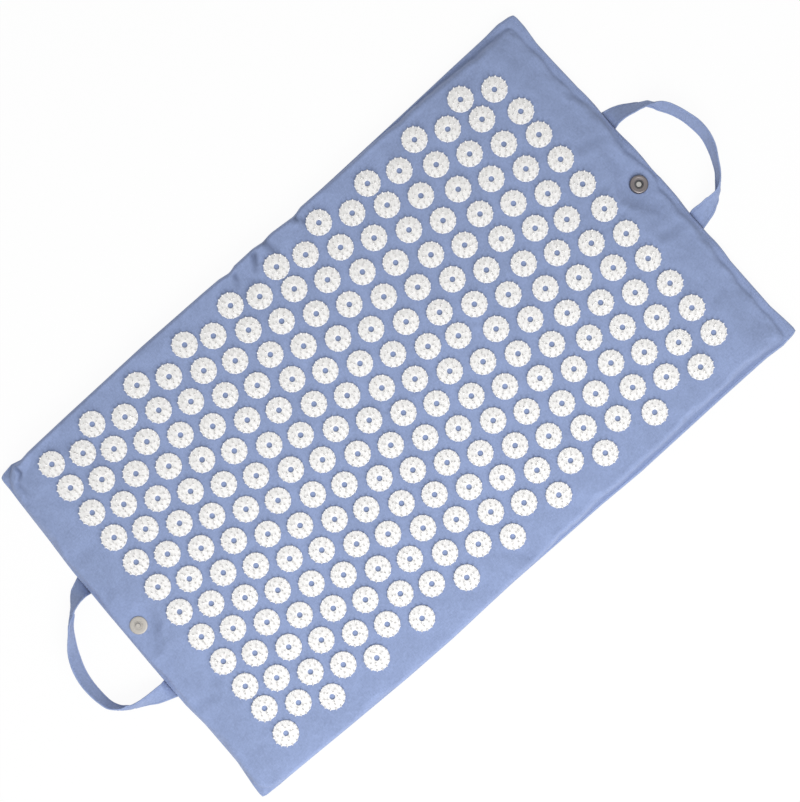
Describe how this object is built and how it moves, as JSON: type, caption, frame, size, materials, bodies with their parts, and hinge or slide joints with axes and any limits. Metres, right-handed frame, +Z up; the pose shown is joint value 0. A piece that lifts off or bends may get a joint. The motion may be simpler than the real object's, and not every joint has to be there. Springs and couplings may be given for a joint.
{
  "type": "acupressure mat",
  "caption": "Padded acupressure mat: foam in a sewn cotton cover with staggered rows of spiked discs, a strap handle at each end and a magnetic snap that holds it folded.",
  "frame": {"origin": "middle of the whole mat with its handles, on the surface that it lies on", "axes": "+X along the mat towards the end with the snap's socket, +Y across it, +Z up through the discs"},
  "size_m": [0.8132, 0.414, 0.0253],
  "materials": {
    "cover_cloth": "periwinkle blue plain-weave cotton, matt",
    "cover_underside": "the same cotton on the mat's back",
    "strap_cloth": "the cover's cotton folded into a flat strap, edge-stitched",
    "foam": "pale open-cell polyurethane foam",
    "disc_plastic": "off-white moulded plastic, satin",
    "snap_metal": "gunmetal plating",
    "plate_metal": "pale nickel plating, satin",
    "bright_metal": "bright nickel",
    "magnet": "black ceramic ferrite",
    "backing_steel": "plain zinc-plated steel"
  },
  "bodies": {
    "stud_half": {"stud_half_top_cover": "cover_cloth", "stud_half_bottom_cover": "cover_underside", "stud_half_foam": "foam", "snap_stud_plate": "plate_metal", "snap_stud_post": "plate_metal", "snap_stud_washer": "backing_steel", "disc_row_11": "disc_plastic", "disc_row_12": "disc_plastic", "disc_row_13": "disc_plastic", "disc_row_14": "disc_plastic", "disc_row_15": "disc_plastic", "disc_row_16": "disc_plastic", "disc_row_17": "disc_plastic", "disc_row_18": "disc_plastic", "disc_row_19": "disc_plastic", "disc_row_20": "disc_plastic"},
    "socket_half": {"socket_half_top_cover": "cover_cloth", "socket_half_bottom_cover": "cover_underside", "socket_half_foam": "foam", "snap_socket_cap": "snap_metal", "snap_socket_magnet": "magnet", "snap_socket_base": "backing_steel", "snap_socket_rivet": "bright_metal", "snap_socket_washer": "backing_steel", "disc_row_01": "disc_plastic", "disc_row_02": "disc_plastic", "disc_row_03": "disc_plastic", "disc_row_04": "disc_plastic", "disc_row_05": "disc_plastic", "disc_row_06": "disc_plastic", "disc_row_07": "disc_plastic", "disc_row_08": "disc_plastic", "disc_row_09": "disc_plastic", "disc_row_10": "disc_plastic"},
    "socket_handle": {"socket_handle": "strap_cloth"},
    "stud_handle": {"stud_handle": "strap_cloth"}
  },
  "joints": [
    {"name": "mat_fold", "type": "hinge", "parent": "stud_half", "child": "socket_half", "pos_m": [-0.01188, 0, 0.0259], "axis": [0, -1, 0], "range_deg": [0, 165]},
    {"name": "socket_handle_swing", "type": "hinge", "parent": "socket_half", "child": "socket_handle", "pos_m": [0.34042, 0.003, 0.00105], "axis": [0, -1, 0], "range_deg": [0, 90]},
    {"name": "stud_handle_swing", "type": "hinge", "parent": "stud_half", "child": "stud_handle", "pos_m": [-0.34042, 0.003, 0.00105], "axis": [0, 1, 0], "range_deg": [0, 90]}
  ]
}
